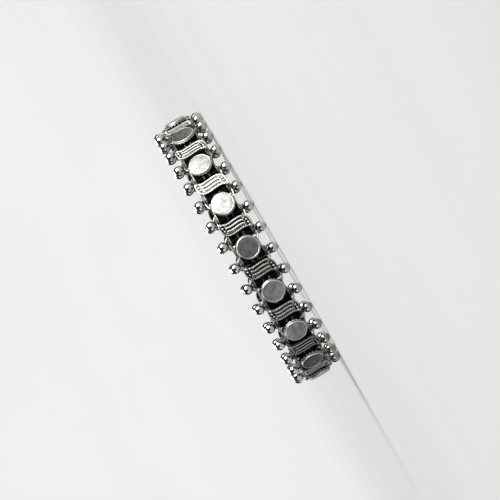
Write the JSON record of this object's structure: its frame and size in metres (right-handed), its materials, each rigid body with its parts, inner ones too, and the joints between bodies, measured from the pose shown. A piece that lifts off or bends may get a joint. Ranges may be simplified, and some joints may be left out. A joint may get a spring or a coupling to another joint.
{
  "type": "sterling silver link bracelet",
  "caption": "Hinged link bracelet in oxidised silver: raised discs alternate with ribbed wavy bars, and pins with polished balls edge both sides; closed loop.",
  "frame": {"origin": "centre of the loop, on the surface that the bracelet lies on, under the lower row of balls", "axes": "+Z along the loop's axis, the way a wrist passes through; -Y points out through the front disc, +Y through the clasp; X is the oval's longer way"},
  "size_m": [0.069, 0.0604, 0.0124],
  "materials": {
    "silver": "sterling silver, oxidised black in the recesses, rubbed bright on rims, rails and ribs, satin on the disc faces",
    "polished_silver": "sterling silver, highly polished balls with slightly warm highlights"
  },
  "bodies": {
    "root": {"disc_link_01": "silver", "bar_link_01": "silver", "disc_link_02": "silver", "bar_link_02": "silver", "disc_link_03": "silver", "bar_link_03": "silver", "disc_link_04": "silver", "bar_link_04": "silver", "disc_link_05": "silver", "bar_link_05": "silver", "disc_link_06": "silver", "bar_link_06": "silver", "disc_link_07": "silver", "bar_link_07": "silver", "disc_link_08": "silver", "bar_link_08": "silver", "disc_link_09": "silver", "clasp": "silver", "disc_link_10": "silver", "bar_link_09": "silver", "disc_link_11": "silver", "bar_link_10": "silver", "disc_link_12": "silver", "bar_link_11": "silver", "disc_link_13": "silver", "bar_link_12": "silver", "disc_link_14": "silver", "bar_link_13": "silver", "disc_link_15": "silver", "bar_link_14": "silver", "disc_link_16": "silver", "bar_link_15": "silver", "disc_link_17": "silver", "bar_link_16": "silver", "hinge_pins_1": "polished_silver", "hinge_pins_2": "polished_silver", "hinge_pins_3": "polished_silver", "hinge_pins_4": "polished_silver", "hinge_pins_5": "polished_silver", "hinge_pins_6": "polished_silver"}
  },
  "joints": []
}
